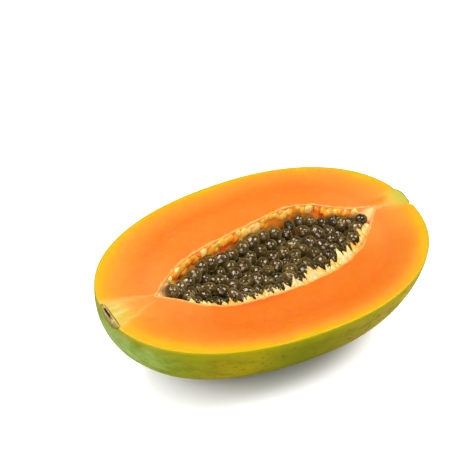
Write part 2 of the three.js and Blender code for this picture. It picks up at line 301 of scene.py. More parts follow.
button = (place - BUTTON_PLACE) / BUTTON_RADII
near_button = (place[:, 0] > BUTTON_START) & (np.hypot(button[:, 1], button[:, 2]) < 1)
button_rise = np.sqrt(np.maximum(1 - button[:, 1] ** 2 - button[:, 2] ** 2, 0))
button_x = BUTTON_PLACE[0] + BUTTON_RADII[0] * button_rise
lift = near_button & (button_x > place[:, 0]) & (from_skin < BUTTON_BLEND)
blend = 1 - smooth_step(0, BUTTON_BLEND, from_skin[lift])
place[lift, 0] += (button_x - place[:, 0])[lift] * blend

# A crease runs down each side of the button.
for crease_y, crease_depth, crease_width in CREASES:
    crease = crease_depth * np.exp(-(((place[:, 1] - crease_y) / crease_width) ** 2))
    crease *= smooth_step(*CREASE_FADES[0], place[:, 0])
    crease *= 1 - smooth_step(*CREASE_FADES[1], from_skin)
    place[:, 0] -= crease * smooth_step(*CREASE_FADES[2], place[:, 2])

# The scar's pocket: what stood further out than its floor is pressed in to it.
pocket_floor = SCAR_FACE + SCAR_THICKNESS + SCAR_GAP
from_scar = np.hypot(place[:, 1] - SCAR_Y, place[:, 2] - SCAR_RISE)
in_pocket = 1 - smooth_step(SCAR_RADIUS + POCKET_EDGE[0], SCAR_RADIUS + POCKET_EDGE[1], from_scar)
place[:, 0] += in_pocket * np.maximum(pocket_floor - place[:, 0], 0)

# The knife left the face very slightly uneven and its edges a little rounded.
edge_drop = SKIN_EDGE[0] * (1 - smooth_step(0, SKIN_EDGE[1], from_skin))
edge_drop += RIM_EDGE[0] * (1 - smooth_step(0, RIM_EDGE[1], np.abs(from_cavity)))
place[flat, 2] -= edge_drop[flat]
knife_marks = KNIFE_MARKS[0] * (1 + soft_noise(place[on_face], KNIFE_MARKS[1], 3))
place[on_face, 2] -= knife_marks * smooth_step(0, 2, from_skin[on_face])

# The cavity wall is swollen pulp: wet lumps with red pockets between them, smooth at the two tips.
wall_points = place[on_wall]
cells = [noise.voronoi(Vector(p / LUMP_SPREAD)) for p in wall_points]
nearest = np.array([distances[0] for distances, _ in cells])
to_border = np.array([distances[1] - distances[0] for distances, _ in cells])
tone = np.array([noise.noise(middles[0] * 5.3) for _, middles in cells])
swelling = (1 - smooth_step(0.05, 0.6, nearest)) * smooth_step(0, 0.15, to_border)
pocket = smooth_step(0.02, 0.45, to_border)
plain_tips = smooth_step(*PLAIN_TIPS[0], wall_points[:, 0])
plain_tips *= 1 - smooth_step(*PLAIN_TIPS[1], wall_points[:, 0])
depth_in = -wall_points[:, 2]
relief = np.where(tone > LUMP_TONE, swelling, -pocket) * plain_tips * smooth_step(0.4, 1.8, depth_in)
into_flesh = unit(wall_points * [0, 1, 0.6] - [0, 1, 0])
place[on_wall] -= into_flesh * (np.where(relief > 0, LUMP_HEIGHT, POCKET_DEPTH) * relief)[:, None]
wall_relief = np.zeros(len(place))
wall_relief[on_wall] = relief
wall_tone = np.zeros(len(place))
wall_tone[on_wall] = tone

# A thin pale skin lines the cavity. At the rim it stands in a little, as an uneven lip.
lip = LIP_WIDTH + LIP_WAVER * soft_noise(wall_points, 2.6, 4)
lip *= np.exp(-(((depth_in - LIP_DEPTH[0]) / LIP_DEPTH[1]) ** 2))
lip *= smooth_step(CAVITY_START, CAVITY_START + LIP_FADE, wall_points[:, 0])
place[on_wall] -= into_flesh * lip[:, None]

# The fruit is flat where its weight rests.
below = place[:, 1] * -math.sin(ROLL) + place[:, 2] * -math.cos(ROLL)
down = np.array([0, -math.sin(ROLL), -math.cos(ROLL)])
place -= np.maximum(below - REST_HEIGHT, 0)[:, None] * down


def new_piece(name, corners, faces, smooth=True):
    """A mesh object at the origin from corners in metres in the row frame."""
    mesh = bpy.data.meshes.new(name)
    mesh.from_pydata([tuple(c) for c in corners], [], faces)
    mesh.update()
    mesh.polygons.foreach_set("use_smooth", [smooth] * len(mesh.polygons))
    return in_scene(name, mesh)


def face_outwards(piece, join_within=0.0):
    """Turns every face outwards, after joining the corners that meet."""
    tools = bmesh.new()
    tools.from_mesh(piece.data)
    if join_within > 0:
        bmesh.ops.remove_doubles(tools, verts=tools.verts, dist=join_within)
    bmesh.ops.recalc_face_normals(tools, faces=tools.faces)
    tools.to_mesh(piece.data)
    tools.free()


def store(piece, name, values, kind="FLOAT"):
    """Keeps a value or a vector for each corner."""
    attribute = piece.data.attributes.new(name, kind, "POINT")
    label = "value" if kind == "FLOAT" else "vector"
    attribute.data.foreach_set(label, np.ravel(values).astype(np.float32))


body = new_piece("papaya_flesh_and_skin", in_row_frame(place), quads)
store(body, "from_skin", from_skin)
store(body, "from_cavity", from_cavity)
store(body, "wall_relief", wall_relief)
store(body, "wall_tone", wall_tone)
store(body, "along_fruit", place[:, 0])
store(body, "across_fruit", place[:, 1])
store(body, "below_cut", -place[:, 2])


def feed(tree, socket, value):
    """Gives a socket a fixed value, or joins it to another socket."""
    if isinstance(value, bpy.types.NodeSocket):
        tree.links.new(value, socket)
    else:
        socket.default_value = value


def add_node(tree, kind, inputs=None, **settings):
    made = tree.nodes.new(kind)
    for key, value in settings.items():
        setattr(made, key, value)
    for key, value in (inputs or {}).items():
        feed(tree, made.inputs[key], value)
    return made


class Finish:
    """A material whose nodes are added one by one. Its hex colours are as seen in full light."""

    def __init__(self, name, share=0.66):
        self.share = share
        self.material = bpy.data.materials.new(name)
        self.material.use_nodes = True
        self.tree = self.material.node_tree
        self.shader = self.tree.nodes["Principled BSDF"]
        self.base = None

    def node(self, kind, inputs=None, **settings):
        return add_node(self.tree, kind, inputs, **settings)

    def colour(self, code):
        parts = [int(code[i : i + 2], 16) / 255 for i in (0, 2, 4)]
        linear = [p / 12.92 if p <= 0.04045 else ((p + 0.055) / 1.055) ** 2.4 for p in parts]
        return (*[p * self.share for p in linear], 1)

    def set(self, **values):
        for key, value in values.items():
            feed(self.tree, self.shader.inputs[key.replace("_", " ")], value)

    def attribute(self, name):
        return self.node("ShaderNodeAttribute", attribute_name=name).outputs["Fac"]

    def place(self, scale=(1, 1, 1), turn=(0, 0, 0), shift=(0, 0, 0)):
        inputs = {"Scale": scale, "Rotation": turn, "Location": shift}
        inputs["Vector"] = self.node("ShaderNodeTexCoord").outputs["Object"]
        return self.node("ShaderNodeMapping", inputs).outputs["Vector"]

    def grain(self, scale, detail=3, roughness=0.5, where=None, distortion=0):
        inputs = {"Scale": scale, "Detail": detail, "Roughness": roughness, "Distortion": distortion}
        inputs["Vector"] = where or self.place()
        return self.node("ShaderNodeTexNoise", inputs).outputs["Fac"]

    def map(self, value, low, high, to_low=0, to_high=1, smooth=True):
        inputs = {"Value": value, "From Min": low, "From Max": high, "To Min": to_low, "To Max": to_high}
        kind = "SMOOTHSTEP" if smooth else "LINEAR"
        return self.node("ShaderNodeMapRange", inputs, interpolation_type=kind).outputs["Result"]

    def math(self, operation, a, b=0.0):
        return self.node("ShaderNodeMath", {0: a, 1: b}, operation=operation).outputs[0]

    def times(self, a, b):
        return self.math("MULTIPLY", a, b)

    def plus(self, a, b):
        return self.math("ADD", a, b)

    def minus(self, a, b):
        return self.math("SUBTRACT", a, b)

    def distance(self, a, b):
        return self.math("ABSOLUTE", self.minus(a, b))

    def mix(self, factor, a, b, blend="MIX"):
        a, b = [self.colour(c) if isinstance(c, str) else c for c in (a, b)]
        inputs = {"Factor": factor, 6: a, 7: b}
        return self.node("ShaderNodeMix", inputs, data_type="RGBA", blend_type=blend).outputs[2]

    def lay(self, over, where, strength=1):
        """Lays one more colour on the base colour, where a value says."""
        where = where if strength == 1 else self.times(where, strength)
        self.base = self.mix(where, self.base, over)

    def ramp(self, value, stops):
        made = self.node("ShaderNodeValToRGB", {"Fac": value})
        ramp = made.color_ramp
        while len(ramp.elements) < len(stops):
            ramp.elements.new(1)
        for element, (position, code) in zip(ramp.elements, stops):
            element.position = position
            element.color = self.colour(code)
        return made.outputs["Color"]

    def bump(self, height, strength, distance, onto=None):
        inputs = {"Height": height, "Strength": strength, "Distance": distance}
        if onto is not None:
            inputs["Normal"] = onto
        return self.node("ShaderNodeBump", inputs).outputs["Normal"]


# Flesh: yellow under the skin, through amber to deep orange, pale at the cavity's rim. It is wet.
FLESH_DEPTH = 20  # mm from the skin over which the colour changes
CAVITY_MIDDLE = (2, 3)  # along the fruit: that of its rim and that of its wall
WALL_PAINTED_LIGHT = 1.75
FAN_START = -82  # at the scar, along the fruit
FAN_WIDTHS = (8.6, 1.2)
BLOSSOM_Y = 8  # where the blossom end's lines run out, across the fruit
BLOSSOM_LINES = ((1, 2.0, 0.75, "FF8C14"), (-2.4, 1.3, 0.5, "FFC878"))  # place, width, share
flesh = Finish("papaya_flesh", share=0.55)
depth_in_flesh = flesh.attribute("from_skin")
along = flesh.attribute("along_fruit")
across = flesh.attribute("across_fruit")
stem_spread = flesh.map(along, -76, -22, flesh.map(across, -15, 12, 0.28, 0.5), 1)
end_spread = flesh.times(stem_spread, flesh.map(along, 36, 76, 1, 0.55))
blotches = flesh.map(flesh.grain(60), 0.3, 0.7, -0.9, 0.9, smooth=False)
ripeness = flesh.plus(flesh.times(depth_in_flesh, end_spread), blotches)
ripeness = flesh.math("MAXIMUM", ripeness, flesh.times(depth_in_flesh, 0.35))
flesh.base = flesh.ramp(
    flesh.math("DIVIDE", ripeness, FLESH_DEPTH),
    [
        (0.0, "E4C200"), (0.05, "F6BC06"), (0.12, "FBAC1E"), (0.24, "FA9C2E"),
        (0.42, "F98E28"), (0.65, "F87F20"), (1.0, "F98928"),
    ],
)
flecks = flesh.map(flesh.grain(420, 2, 0.6, where=flesh.place((0.35, 1, 1), (0, 0, 0.6))), 0.66, 0.78)
flesh.lay("FDB46A", flecks, 0.28)
near_side = flesh.times(flesh.map(across, -4, -20), flesh.map(depth_in_flesh, 3, 9))
flesh.lay("F06C0A", near_side, 0.45)
red_patches = flesh.map(flesh.grain(45, 2, where=flesh.place((0.5, 1.4, 1))), 0.55, 0.75)
red_patches = flesh.times(red_patches, flesh.map(depth_in_flesh, 9, 15))
flesh.lay("F65410", red_patches, 0.5)
to_cavity = flesh.attribute("from_cavity")
round_tips = flesh.map(flesh.distance(along, CAVITY_MIDDLE[0]), 36, 56)
round_tips = flesh.times(round_tips, flesh.map(to_cavity, 3, 18, 0.3, 0.08))
flesh.lay("FBAE58", round_tips)
rim_waver = flesh.map(flesh.grain(300, 2), 0.3, 0.7, -0.2, 0.7, smooth=False)
rim_pale = flesh.map(flesh.math("ABSOLUTE", flesh.plus(to_cavity, rim_waver)), 0.5, 1.4, 1, 0)
flesh.lay("FFC468", rim_pale, 0.85)
# Pale fibres fan out from the cavity's tip to the stem scar, swaying a little on their way.
sway = flesh.map(flesh.grain(75, 2), 0.3, 0.7, -1.5, 1.5, smooth=False)
fan_middle = flesh.map(along, -80, CAVITY_START, -1.6, 0.2, smooth=False)
from_middle_line = flesh.plus(flesh.minus(across, fan_middle), sway)
fan_width = flesh.map(along, FAN_START, CAVITY_START, *FAN_WIDTHS, smooth=False)
fan = flesh.math("DIVIDE", from_middle_line, fan_width)
streaks = flesh.grain(300, 4, 0.65, where=flesh.place((0.22, 1.3, 1), (0, 0, -0.1)))
fan_edge = flesh.plus(flesh.math("ABSOLUTE", fan), flesh.map(streaks, 0.35, 0.65, -0.3, 0.3))
pale_fan = flesh.times(flesh.map(fan_edge, 0.5, 1.3, 1, 0), flesh.map(along, -77, -68, 1, 0.14))
pale_fan = flesh.times(pale_fan, flesh.map(along, -61, CAVITY_START, 1, 0))
flesh.lay(flesh.mix(flesh.map(streaks, 0.38, 0.62), "E4C850", "F2DC84"), pale_fan, 0.85)
fan_line = flesh.distance(flesh.math("ABSOLUTE", fan), 0.9)
fan_line = flesh.times(flesh.map(fan_line, 0.05, 0.4, 1, 0), flesh.map(along, -60, -54, 1, 0))
fan_line = flesh.times(fan_line, flesh.map(streaks, 0.36, 0.52, 0, 0.4))
flesh.lay("FFCE78", fan_line)
# At the blossom end the flesh is pale yellow-green, and a pale and an orange line run out to it.
blossom = flesh.minus(across, BLOSSOM_Y)
blossom_pale = flesh.map(flesh.math("ABSOLUTE", blossom), 2, 8, 0.8, 0)
blossom_pale = flesh.times(blossom_pale, flesh.map(along, 66, 77))
flesh.lay(flesh.mix(flesh.map(along, 74, 79), "F0D050", "CCD254"), blossom_pale)
for line_y, width, share, colour in BLOSSOM_LINES:
    line = flesh.distance(flesh.plus(blossom, sway), line_y)
    line = flesh.times(flesh.map(line, 0.3, width, share, 0), flesh.map(along, 62, 65))
    flesh.lay(colour, flesh.times(line, flesh.map(along, 69, 76, 1, 0)))
# A thin line of skin shows round the edge, green only on the lobe between the two creases.
green_end = flesh.times(flesh.map(across, 2, 4), flesh.map(across, 13, 16, 1, 0))
green_end = flesh.times(green_end, flesh.map(along, 74, 77))
skin_line = flesh.minus(depth_in_flesh, flesh.times(green_end, 0.7))
skin_line = flesh.map(skin_line, 0.1, 0.5, 1, 0)
flesh.lay(flesh.mix(green_end, "CDB91C", "7E941C"), skin_line)
# Inside the cavity: orange-red pockets between yellow lumps, and plain pinkish walls at the tips. The
# wall's colours carry painted light, and painted shade further down.
inside = flesh.map(to_cavity, -0.9, -0.4, 1, 0)
wall_swelling = flesh.attribute("wall_relief")
wall_colour = flesh.ramp(
    flesh.map(wall_swelling, -1, 1, smooth=False),
    [(0.0, "F04C0C"), (0.3, "FF641A"), (0.5, "FF8C2A"), (0.65, "FFA636"), (1.0, "FFBE48")],
)
pale_lumps = flesh.map(flesh.attribute("wall_tone"), 0.1, 0.4)
pale_lumps = flesh.times(pale_lumps, flesh.map(wall_swelling, 0.1, 0.5))
wall_colour = flesh.mix(flesh.times(pale_lumps, 0.6), wall_colour, "FFE0A8")
tips = flesh.map(flesh.distance(along, CAVITY_MIDDLE[1]), 46, 57)
# The tips' walls are pinkish; the stem end's tip is painted lighter, as painted light for the shade it
# lies in.
wall_colour = flesh.mix(tips, wall_colour, flesh.mix(flesh.map(along, -5, 5), "FFC484", "FFB070"))
# Painted light: the wall's colours are made lighter to make up for the shade the wall lies in.
wall_colour = flesh.mix(1.0, wall_colour, (*[WALL_PAINTED_LIGHT] * 3, 1), blend="MULTIPLY")
# Painted shade: from 7 mm down, the wall goes towards dark brown.
wall_colour = flesh.mix(flesh.map(to_cavity, -14, -7, 0.85, 0), wall_colour, "5A2408")
flesh.lay(wall_colour, inside)
wet = flesh.map(flesh.grain(250), 0.35, 0.65, 0.3, 0.48)
fibres = flesh.grain(500, 3, 0.55, where=flesh.place((0.4, 1, 1)))
flesh_relief = flesh.bump(fibres, 0.25, 0.0004)
flesh_relief = flesh.bump(flesh.grain(1500, 4, 0.6), 0.2, 0.0002, flesh_relief)
flesh.set(
    Base_Color=flesh.base,
    Roughness=flesh.plus(wet, flesh.times(inside, flesh.map(tips, 0, 1, -0.14, 0.3))),
    IOR=1.38,
    Specular_IOR_Level=0.3,
    Subsurface_Weight=0.22,
    Subsurface_Radius=(1.0, 0.38, 0.12),
    Subsurface_Scale=0.0035,
    Normal=flesh_relief,
)

# Skin: green at the stem end, olive and yellow at the belly, greyer at the blossom end. It is waxy.
peel = Finish("papaya_skin", share=0.53)
along = peel.attribute("along_fruit")
below_cut = peel.attribute("below_cut")
drift = peel.map(peel.grain(26), 0.3, 0.7, -8, 8, smooth=False)
peel.base = peel.ramp(
    peel.map(peel.plus(along, drift), -84, 84, smooth=False),
    [
        (0.0, "A0BA54"), (0.06, "88A632"), (0.13, "8A931A"), (0.22, "9C8C10"), (0.32, "998B10"),
        (0.44, "787B08"), (0.56, "867E12"), (0.68, "A2902C"), (0.82, "C8AE3C"), (1.0, "A89C50"),
    ],
)
yellow = peel.map(peel.grain(38, 4, 0.6), 0.52, 0.72)
peel.lay("B4A008", yellow, 0.4)
mottle = peel.map(peel.grain(190, 5, 0.7, where=peel.place((0.5, 1, 1))), 0.44, 0.62)
peel.lay("5E6A0C", mottle, 0.4)
# Pale streaks at the stem end: partly the waxy bloom, partly a painted sheen. The pale green that the
# ramp starts with there is partly painted sheen too.
stem_streaks_and_sheen = peel.grain(170, 3, 0.55, where=peel.place((0.12, 1, 1)))
stem_streaks_and_sheen = peel.map(stem_streaks_and_sheen, 0.3, 0.7, 0, 0.6)
stem_streaks_and_sheen = peel.times(stem_streaks_and_sheen, peel.map(along, -79, -58, 1, 0))
peel.lay("C6D488", stem_streaks_and_sheen)
pore_cells = peel.node("ShaderNodeTexVoronoi", {"Vector": peel.place((0.7, 1, 1)), "Scale": 400})
pores = peel.map(pore_cells.outputs["Distance"], 0.12, 0.28, 1, 0)
patchy = peel.map(peel.grain(90, 2), 0.38, 0.54)
patchy = peel.times(patchy, peel.map(along, -70, -40, 0.2, 1))
specks = peel.times(pores, patchy)
peel.lay("3E480C", specks, 0.7)
peel.lay("A6A00A", peel.map(below_cut, 1, 8, 1, 0), 0.55)
peel.lay("C8B40A", peel.map(below_cut, 0.1, 1.8, 1, 0), 0.85)
skin_relief = peel.bump(peel.grain(900), 0.12, 0.0003)
skin_relief = peel.bump(peel.times(specks, -1), 0.3, 0.0002, skin_relief)
peel.set(
    Base_Color=peel.base,
    Roughness=peel.map(peel.grain(120), 0.3, 0.7, 0.34, 0.5),
    IOR=1.45,
    Specular_IOR_Level=0.0,
    Coat_Weight=0.04,
    Coat_Roughness=0.3,
    Subsurface_Weight=0.08,
    Subsurface_Radius=(0.6, 1.0, 0.2),
    Subsurface_Scale=0.002,
    Normal=skin_relief,
)
body.data.materials.append(flesh.material)
body.data.materials.append(peel.material)
body.data.polygons.foreach_set("material_index", [1] * skin_faces + [0] * (len(quads) - skin_faces))
face_outwards(body)
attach(body, "root")
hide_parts("papaya_half")

# ---- The seeds ----
# About a hundred seeds heaped in the cavity. Each is a dark wrinkled kernel in a thin wet coat of
# olive jelly, a little longer than it is wide. They are thrown over the heap and pushed apart.
SEED_COUNT = 100
SEED_RADII = (2.8, 3.6)
SEED_LENGTHENING = 1.13
SEED_NARROWING = 0.94
JELLY_LENGTHENING = 1.05
TOP_SEED_SIZE = 1.08
SUNK_SEED_LOSS = 0.13  # how much smaller the sunk seeds are than the top ones
SUNK_SEED_PAINTED_SHADE = 0.5  # and how much darker their painted shade makes them
SINK_OF_SIZE = (0.8, 3.0)  # how far sunk a seed is where its size starts and ends falling
SINK_OF_PAINTED_SHADE = (1.0, 3.2)  # and where its painted shade does
PAINTED_LIT_HEIGHT = (-0.7, 0.8)  # of its radius: where a seed's painted light starts and is full; below it, it is painted in shade
SEED_FAR_GAP = 0.9
SEED_NEAR_GAPS = (1.8, 3.6)
TIP_WALL_GAP = 1.8
LEAST_ROOM = (0.4, 0.6)  # for a seed's middle to move, across and down
SEED_STATIONS = (-49, 54)
HEAP_EDGES = (0.7, 0.4)  # below the cut, on the near and the far side
HEAP_VALLEY = 5
SEED_SINK = 3.8
SHORE_SINK = 0.25
RELAX_ROUNDS = 160
RELAX_PUSH = 0.4


def drawer(seed):
    """Repeatable random numbers from 0 to 1."""
    state = seed

    def draw():
        nonlocal state
        state = (state * 16807) % 2147483647
        return state / 2147483647

    return draw


def part_way(ends, share):
    """The value at a share of the way from one end to the other."""
    return ends[0] + (ends[1] - ends[0]) * share


def heap_top(x, y):
    middle, half, _ = cavity_at(x)
    v = min(max((y - middle) / half, -1), 1)
    return -part_way(HEAP_EDGES, (v + 1) / 2) - HEAP_VALLEY * (half / WIDEST) ** 2 * (1 - v * v) ** 2


def between(ends, x):
    """A value that changes evenly from the stem end's seeds to the blossom end's."""
    low, high = SEED_STATIONS
    return part_way(ends, (x - low) / (high - low))


def settle(seed):
    """Sets a seed at its own depth in the heap, clear of the wall."""
    p, radius, sink, _ = seed
    p[0] = min(max(p[0], SEED_STATIONS[0]), SEED_STATIONS[1])
    middle, half, depth = cavity_at(p[0])
    tip = TIP_WALL_GAP * (1 - half / WIDEST)
    far = max(half - radius - SEED_FAR_GAP - tip, LEAST_ROOM[0])
    near = max(half - radius - between(SEED_NEAR_GAPS, p[0]) - tip, LEAST_ROOM[0])
    p[1] = min(max(p[1], middle - near), middle + far)
    v = min(max((p[1] - middle) / half, -1), 1)
    p[2] = heap_top(p[0], p[1]) - radius - sink * (1 - (1 - SHORE_SINK) * v * v)
    width = far if p[1] > middle else near
    drop = max(depth - radius - SEED_FAR_GAP - tip, LEAST_ROOM[1])
    out = math.hypot((p[1] - middle) / width, p[2] / drop)
    if out > 1:
        p[1] = middle + (p[1] - middle) / out
        p[2] /= out


draw = drawer(20231)
seeds = []
while len(seeds) < SEED_COUNT:
    x = part_way(SEED_STATIONS, draw())
    sideways = 2 * draw() - 1
    radius = part_way(SEED_RADII, draw())
    sink = SEED_SINK * draw()
    turn = [2 * math.pi * draw() for _ in range(3)]
    middle, half, _ = cavity_at(x)
    if draw() > half / WIDEST:
        continue
    seeds.append(([x, middle + half * sideways, 0.0], radius, sink, turn))
    settle(seeds[-1])
for _ in range(RELAX_ROUNDS):
    moves = [[0.0, 0.0, 0.0] for _ in seeds]
    for i, (p, radius, _, _) in enumerate(seeds):
        for j in range(i + 1, len(seeds)):
            q, other, _, _ = seeds[j]
            apart = (q[0] - p[0], q[1] - p[1], q[2] - p[2])
            gap = math.sqrt(apart[0] ** 2 + apart[1] ** 2 + apart[2] ** 2)
            wanted = radius + other
            if gap >= wanted:
                continue
            push = RELAX_PUSH * (wanted - gap) / gap
            for axis in range(3):
                moves[j][axis] += apart[axis] * push
                moves[i][axis] -= apart[axis] * push
    for seed, move in zip(seeds, moves):
        for axis in range(3):
            seed[0][axis] += move[axis]
        settle(seed)

roll = Matrix.Rotation(ROLL, 3, "X")


def scatter(name, places, sizes, turns_to, tones):
    """Loose points that carry the size, turn and tone of what grows on them."""
    scattered = new_piece(name, in_row_frame(places), [])
    angles = [tuple((roll @ t).to_euler("XYZ")) for t in turns_to]
    store(scattered, "size", np.asarray(sizes) * MM, "FLOAT_VECTOR")
    store(scattered, "turn", angles, "FLOAT_VECTOR")
    store(scattered, "tone", tones)
    return scattered


def growing_tree(name, shape, inputs):
    """Geometry Nodes that put a shape on each point, make the copies real and roughen them."""
    tree = bpy.data.node_groups.new(name, "GeometryNodeTree")
    socket_of = tree.interface.new_socket
    socket_of("Geometry", in_out="INPUT", socket_type="NodeSocketGeometry")
    for label, value in inputs.items():
        kind = "NodeSocketInt" if isinstance(value, int) else "NodeSocketFloat"
        socket_of(label, in_out="INPUT", socket_type=kind).default_value = value
    socket_of("Material", in_out="INPUT", socket_type="NodeSocketMaterial")
    socket_of("Geometry", in_out="OUTPUT", socket_type="NodeSocketGeometry")
    start = tree.nodes.new("NodeGroupInput").outputs
    finish = tree.nodes.new("NodeGroupOutput").inputs

    def add(kind, inputs=None, **settings):
        return add_node(tree, kind, inputs, **settings)

    def onwards(kind, geometry, **inputs):
        return add(kind, {"Geometry": geometry, **inputs}).outputs["Geometry"]

    def carried(label):
        named = add("GeometryNodeInputNamedAttribute", {"Name": label}, data_type="FLOAT_VECTOR")
        return named.outputs["Attribute"]

    rotation = add("FunctionNodeEulerToRotation", {"Euler": carried("turn")}).outputs["Rotation"]
    copies = {"Points": start["Geometry"], "Instance": shape(add, start)}
    copies.update({"Rotation": rotation, "Scale": carried("size")})
    copies = add("GeometryNodeInstanceOnPoints", copies).outputs["Instances"]
    real = onwards("GeometryNodeRealizeInstances", copies)
    where = add("GeometryNodeInputPosition").outputs["Position"]
    rough = {"Vector": where, "Scale": start["Roughness scale"], "Detail": 2.0}
    rough = add("ShaderNodeTexNoise", rough).outputs["Fac"]
    centred = add("ShaderNodeMath", {0: rough, 1: 0.5}, operation="SUBTRACT").outputs[0]
    height = {0: centred, 1: start["Roughness height"]}
    height = add("ShaderNodeMath", height, operation="MULTIPLY")
    outwards = {0: add("GeometryNodeInputNormal").outputs["Normal"], "Scale": height.outputs[0]}
    outwards = add("ShaderNodeVectorMath", outwards, operation="SCALE").outputs["Vector"]
    moved = onwards("GeometryNodeSetPosition", real, Offset=outwards)
    smooth = onwards("GeometryNodeSetShadeSmooth", moved)
    dressed = onwards("GeometryNodeSetMaterial", smooth, Material=start["Material"])
    tree.links.new(dressed, finish["Geometry"])
    return tree


def grow(cloud, tree, settings):
    """Runs the tree on the points and gives the result as a plain mesh object."""
    modifier = cloud.modifiers.new("grow", "NODES")
    modifier.node_group = tree
    for item in tree.interface.items_tree:
        if item.in_out == "INPUT" and item.name in settings:
            modifier[item.identifier] = settings[item.name]
    evaluated = cloud.evaluated_get(bpy.context.evaluated_depsgraph_get())
    mesh = bpy.data.meshes.new_from_object(evaluated)
    name = cloud.name
    bpy.data.objects.remove(cloud)
    mesh.name = name
    return in_scene(name, mesh)


def ball(add, start):
    inputs = {"Segments": start["Sides"], "Rings": start["Bands"], "Radius": 1.0}
    return add("GeometryNodeMeshUVSphere", inputs).outputs["Mesh"]


ball_tree = growing_tree(
    "grown_balls",
    ball,
    {"Sides": 16, "Bands": 11, "Roughness scale": 330.0, "Roughness height": 0.0004},
)

# Below the seeds that show, more lie in the dark, anywhere in the heap; painted shade darkens them
# further.
HEAP_SHRINK = 0.955
LOWER_COUNT = 70
LOWER_DROPS = (5.5, 10)
LOWER_RADIUS = 3.1
LOWER_SIZE = 0.95
# The lower seeds keep this share of the painted light: the rest is painted shade.
LOWER_PAINTED_LIGHT = 0.3
LOWER_BREADTH = 0.82  # of the cavity's
LOWER_REACH = 0.84  # towards the wall
draw = drawer(515)
lower = []
while len(lower) < LOWER_COUNT:
    x = part_way(SEED_STATIONS, draw())
    middle, half, depth = cavity_at(x)
    y = middle + half * LOWER_BREADTH * (2 * draw() - 1)
    z = heap_top(x, y) - part_way(LOWER_DROPS, draw() ** 2)
    turn = [2 * math.pi * draw() for _ in range(3)]
    if math.hypot((y - middle) / half, z / depth) < LOWER_REACH:
        lower.append(([x, y, z], LOWER_RADIUS, 0, turn))

every_seed = seeds + lower
draw = drawer(96)
seed_tones = [draw() for _ in every_seed]


def drawn_in(p):
    """A seed's middle in the finished heap, which leaves more of the far wall bare."""
    middle, half, _ = cavity_at(p[0])
    return (p[0], middle - half + HEAP_SHRINK * (p[1] - middle + half), p[2])


# A dark wrinkled kernel shows through thin olive jelly, wet and a little uneven.
jelly = Finish("seed_in_jelly", share=0.57)
furrows = jelly.distance(jelly.grain(420, 3, 0.55, distortion=0.6), 0.5)
seed_tone = jelly.map(jelly.attribute("tone"), 0, 1, -0.2, 0.24, smooth=False)
seed_colour = jelly.ramp(
    jelly.plus(jelly.times(furrows, 3.2), seed_tone),
    [(0.0, "341F0A"), (0.3, "563D18"), (0.6, "80642E"), (1.0, "B49650")],
)
# Painted shade: the colour goes to near black where a seed gets little painted light, and it is rougher
# there.
painted_seed_light = jelly.attribute("painted_seed_light")
jelly.set(
    Base_Color=jelly.mix(painted_seed_light, "0A0603", seed_colour),
    Roughness=jelly.map(painted_seed_light, 0.1, 0.6, 0.26, 0.12),
    IOR=1.5,
    Specular_IOR_Level=0.62,
    Specular_Tint=(1, 0.88, 0.68, 1),
    Sheen_Weight=0.45,
    Sheen_Roughness=0.42,
    Sheen_Tint=(0.75, 0.6, 0.16, 1),
    Normal=jelly.bump(jelly.grain(520, 2), 0.8, 0.0006),
)

# One shell stands round every seed's middle. The deeper a seed lies, the smaller it is and the darker
# its painted shade.
sinks = np.array([seed[2] for seed in seeds])
own_sizes = list(TOP_SEED_SIZE - SUNK_SEED_LOSS * smooth_step(*SINK_OF_SIZE, sinks))
own_sizes += [LOWER_SIZE] * len(lower)
shells = grow(
    scatter(
        "seeds_in_jelly",
        [drawn_in(seed[0]) for seed in every_seed],
        [
            (r * SEED_LENGTHENING * JELLY_LENGTHENING * own, *[r * SEED_NARROWING * own] * 2)
            for (_, r, _, _), own in zip(every_seed, own_sizes)
        ],
        [Euler(seed[3], "ZYX").to_matrix() for seed in every_seed],
        seed_tones,
    ),
    ball_tree,
    {"Material": jelly.material},
)
# Painted light for each corner of a shell: full on a seed's upper half, less on sunk seeds and on the
# lower ones.
corners = np.empty(3 * len(shells.data.vertices))
shells.data.vertices.foreach_get("co", corners)
heights = corners.reshape(len(every_seed), -1, 3)[:, :, 2] / MM
middles = in_row_frame([seed[0] for seed in every_seed])[:, 2:] / MM
painted_light = smooth_step(*PAINTED_LIT_HEIGHT, (heights - middles) / [[seed[1]] for seed in every_seed])
painted_light[: len(seeds)] *= (1 - SUNK_SEED_PAINTED_SHADE * smooth_step(*SINK_OF_PAINTED_SHADE, sinks))[:, None]
painted_light[len(seeds) :] *= LOWER_PAINTED_LIGHT
store(shells, "painted_seed_light", painted_light.ravel())
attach(shells, "root")
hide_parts("seeds")

# ---- The pulp stalks ----
# The stalks that held the seeds, torn short and wet, stand in cream and yellow teeth along the
# near rim. Each is a tapering cone rooted in the cavity wall, leaning in and up.
STALK_GROWTH = (0.8, 1.4)
SHORTEST_STALK = 1.2
STALK_ROOT = 1.4
STALK_SLANT = 0.7
STALK_TOP_GAP = 0.4  # of its radius, below the cut
STALK_HEADROOM = 1.15  # of its radius, over its foot
STALK_CLEARANCE = 0.7  # of its radius, beside a seed
TOOTH_POINT = 0.08  # of its radius, at the tip
TOOTH_BREADTH = (1.1, 0.9)  # of its radius, and how much its tone adds
TOOTH_LENGTH = (0.8, 0.55)  # of its length, and how much its tone adds
PULP_GAP = 0.35
PULP_STATIONS = (-46, 56)
KNIFE_GAP = 0.3
